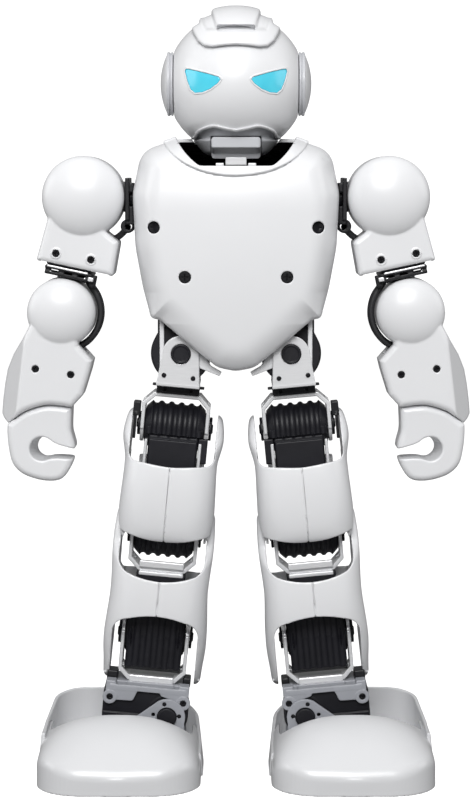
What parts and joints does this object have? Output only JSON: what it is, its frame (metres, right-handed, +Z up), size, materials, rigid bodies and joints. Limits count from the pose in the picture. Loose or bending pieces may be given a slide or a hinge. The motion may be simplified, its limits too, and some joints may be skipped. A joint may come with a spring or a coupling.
{
  "type": "walking humanoid robot",
  "caption": "Small white walking humanoid robot with servo-driven arms and legs, domed shoulders, hook hands, a round head with slanted eyes and big shoe-like feet.",
  "frame": {"origin": "on the floor, under the middle of the box round the robot", "axes": "+Z up; the robot faces -Y; its own right side is -X"},
  "size_m": [0.2454, 0.1235, 0.398],
  "materials": {
    "white_shell": "glossy moulded white",
    "shoe_white": "glossy moulded white, a little softer than the shells",
    "pale_grey_plastic": "satin moulded pale grey",
    "grey_bracket": "satin grey, pressed sheet",
    "bright_aluminium": "bright, fine brushed sheet",
    "black_bracket": "black satin sheet",
    "black_frame": "matte black moulded",
    "servo_case": "matte black moulded, ribbed",
    "battery_wrap": "black shrink wrap",
    "circuit_board": "green solder mask",
    "black_cable": "black cable sleeve",
    "cyan_lens": "glossy cyan lens over a light"
  },
  "bodies": {
    "torso": {"chest_shell": "white_shell", "back_shell": "white_shell", "torso_frame": "black_frame", "battery_pack": "battery_wrap", "main_board": "circuit_board", "right_shoulder_servo": "servo_case", "left_shoulder_servo": "servo_case", "right_hip_servo": "servo_case", "left_hip_servo": "servo_case"},
    "head": {"face_shell": "white_shell", "rear_head_shell": "white_shell", "crest_visor": "white_shell", "neck_sleeve": "pale_grey_plastic", "right_eye_lens": "cyan_lens", "left_eye_lens": "cyan_lens", "right_ear_cap": "white_shell", "left_ear_cap": "white_shell"},
    "switch": {"power_switch": "black_frame"},
    "right_shoulder": {"right_shoulder_bracket": "black_bracket", "right_shoulder_cable": "black_cable"},
    "right_upper_arm": {"right_upper_arm_cover": "white_shell", "right_upper_arm_servo": "servo_case", "right_elbow_yoke": "black_bracket", "right_elbow_cable": "black_cable"},
    "right_forearm": {"right_forearm_servo": "servo_case", "right_forearm_cover": "white_shell", "right_hand": "white_shell"},
    "right_hip": {"right_hip_roll_bracket": "bright_aluminium", "right_hip_pitch_bracket": "bright_aluminium"},
    "right_thigh": {"right_thigh_servo": "servo_case", "right_knee_servo": "servo_case", "right_thigh_cover": "white_shell"},
    "right_shin": {"right_knee_bracket": "bright_aluminium", "right_ankle_servo": "servo_case", "right_shin_cover": "white_shell"},
    "right_ankle": {"right_ankle_bracket": "grey_bracket", "right_ankle_roll_servo": "servo_case"},
    "right_foot": {"right_foot_bracket": "grey_bracket", "right_shoe": "shoe_white"},
    "left_shoulder": {"left_shoulder_bracket": "black_bracket", "left_shoulder_cable": "black_cable"},
    "left_upper_arm": {"left_upper_arm_cover": "white_shell", "left_upper_arm_servo": "servo_case", "left_elbow_yoke": "black_bracket", "left_elbow_cable": "black_cable"},
    "left_forearm": {"left_forearm_servo": "servo_case", "left_forearm_cover": "white_shell", "left_hand": "white_shell"},
    "left_hip": {"left_hip_roll_bracket": "bright_aluminium", "left_hip_pitch_bracket": "bright_aluminium"},
    "left_thigh": {"left_thigh_servo": "servo_case", "left_knee_servo": "servo_case", "left_thigh_cover": "white_shell"},
    "left_shin": {"left_knee_bracket": "bright_aluminium", "left_ankle_servo": "servo_case", "left_shin_cover": "white_shell"},
    "left_ankle": {"left_ankle_bracket": "grey_bracket", "left_ankle_roll_servo": "servo_case"},
    "left_foot": {"left_foot_bracket": "grey_bracket", "left_shoe": "shoe_white"}
  },
  "joints": [
    {"name": "head_turn", "type": "hinge", "parent": "torso", "child": "head", "pos_m": [0, 0.005, 0.358], "axis": [0, 0, 1], "range_deg": [-60, 60]},
    {"name": "power_switch_slide", "type": "slide", "parent": "torso", "child": "switch", "axis": [1, 0, 0], "range_m": [0, 0.0018]},
    {"name": "right_shoulder_pitch", "type": "hinge", "parent": "torso", "child": "right_shoulder", "pos_m": [-0.0786, 0.005, 0.3], "axis": [-1, 0, 0], "range_deg": [-90, 90]},
    {"name": "right_shoulder_roll", "type": "hinge", "parent": "right_shoulder", "child": "right_upper_arm", "pos_m": [-0.0786, 0.005, 0.3], "axis": [0, 1, 0], "range_deg": [-5, 90], "deforming": ["right_shoulder_cable"]},
    {"name": "right_elbow", "type": "hinge", "parent": "right_upper_arm", "child": "right_forearm", "pos_m": [-0.09032, 0.005, 0.24054], "axis": [0, 1, 0], "range_deg": [-15, 90], "deforming": ["right_elbow_cable"]},
    {"name": "right_hip_roll", "type": "hinge", "parent": "torso", "child": "right_hip", "pos_m": [-0.0283, 0.005, 0.22], "axis": [0, 1, 0], "range_deg": [-4, 15]},
    {"name": "right_hip_pitch", "type": "hinge", "parent": "right_hip", "child": "right_thigh", "pos_m": [-0.03202, 0.005, 0.18068], "axis": [-0.9956, 0, 0.0941], "range_deg": [-30, 70]},
    {"name": "right_knee", "type": "hinge", "parent": "right_thigh", "child": "right_shin", "pos_m": [-0.03737, 0.005, 0.12403], "axis": [0.9956, 0, -0.0941], "range_deg": [0, 80]},
    {"name": "right_ankle_pitch", "type": "hinge", "parent": "right_shin", "child": "right_ankle", "pos_m": [-0.04246, 0.005, 0.07017], "axis": [-0.9956, 0, 0.0941], "range_deg": [-25, 25]},
    {"name": "right_ankle_roll", "type": "hinge", "parent": "right_ankle", "child": "right_foot", "pos_m": [-0.03612, 0.005, 0.02989], "axis": [0, -1, 0], "range_deg": [-20, 20]},
    {"name": "left_shoulder_pitch", "type": "hinge", "parent": "torso", "child": "left_shoulder", "pos_m": [0.0786, 0.005, 0.3], "axis": [-1, 0, 0], "range_deg": [-90, 90]},
    {"name": "left_shoulder_roll", "type": "hinge", "parent": "left_shoulder", "child": "left_upper_arm", "pos_m": [0.0786, 0.005, 0.3], "axis": [0, -1, 0], "range_deg": [-5, 90], "deforming": ["left_shoulder_cable"]},
    {"name": "left_elbow", "type": "hinge", "parent": "left_upper_arm", "child": "left_forearm", "pos_m": [0.09032, 0.005, 0.24054], "axis": [0, -1, 0], "range_deg": [-15, 90], "deforming": ["left_elbow_cable"]},
    {"name": "left_hip_roll", "type": "hinge", "parent": "torso", "child": "left_hip", "pos_m": [0.0283, 0.005, 0.22], "axis": [0, -1, 0], "range_deg": [-4, 15]},
    {"name": "left_hip_pitch", "type": "hinge", "parent": "left_hip", "child": "left_thigh", "pos_m": [0.03202, 0.005, 0.18068], "axis": [-0.9956, 0, -0.0941], "range_deg": [-30, 70]},
    {"name": "left_knee", "type": "hinge", "parent": "left_thigh", "child": "left_shin", "pos_m": [0.03737, 0.005, 0.12403], "axis": [0.9956, 0, 0.0941], "range_deg": [0, 80]},
    {"name": "left_ankle_pitch", "type": "hinge", "parent": "left_shin", "child": "left_ankle", "pos_m": [0.04246, 0.005, 0.07017], "axis": [-0.9956, 0, -0.0941], "range_deg": [-25, 25]},
    {"name": "left_ankle_roll", "type": "hinge", "parent": "left_ankle", "child": "left_foot", "pos_m": [0.03612, 0.005, 0.02989], "axis": [0, 1, 0], "range_deg": [-20, 20]}
  ]
}
